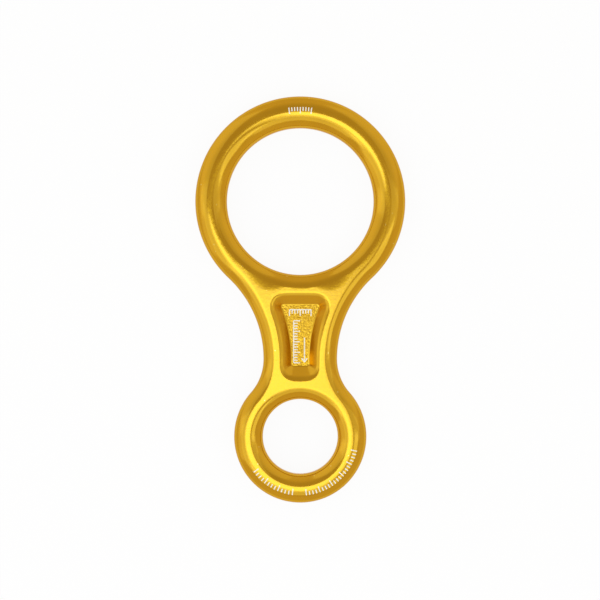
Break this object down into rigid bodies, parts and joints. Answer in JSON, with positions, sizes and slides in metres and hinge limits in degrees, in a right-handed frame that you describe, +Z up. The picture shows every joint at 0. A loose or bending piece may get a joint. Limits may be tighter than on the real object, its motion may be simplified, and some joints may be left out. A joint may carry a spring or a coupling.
{
  "type": "figure-eight belay device",
  "caption": "Forged belay and abseil device: a large rope ring and a small karabiner eye joined by a waisted web with a drafted pocket in each face.",
  "frame": {"origin": "bottom centre of the bounding box: on the table under the middle of the device, which lies flat", "axes": "+X across the device, +Y along it towards the large rope ring, +Z up through its thickness"},
  "size_m": [0.0702, 0.1357, 0.0104],
  "materials": {
    "gold_anodised_aluminium": "satin"
  },
  "bodies": {
    "root": {"forged_body": "gold_anodised_aluminium"}
  },
  "joints": []
}
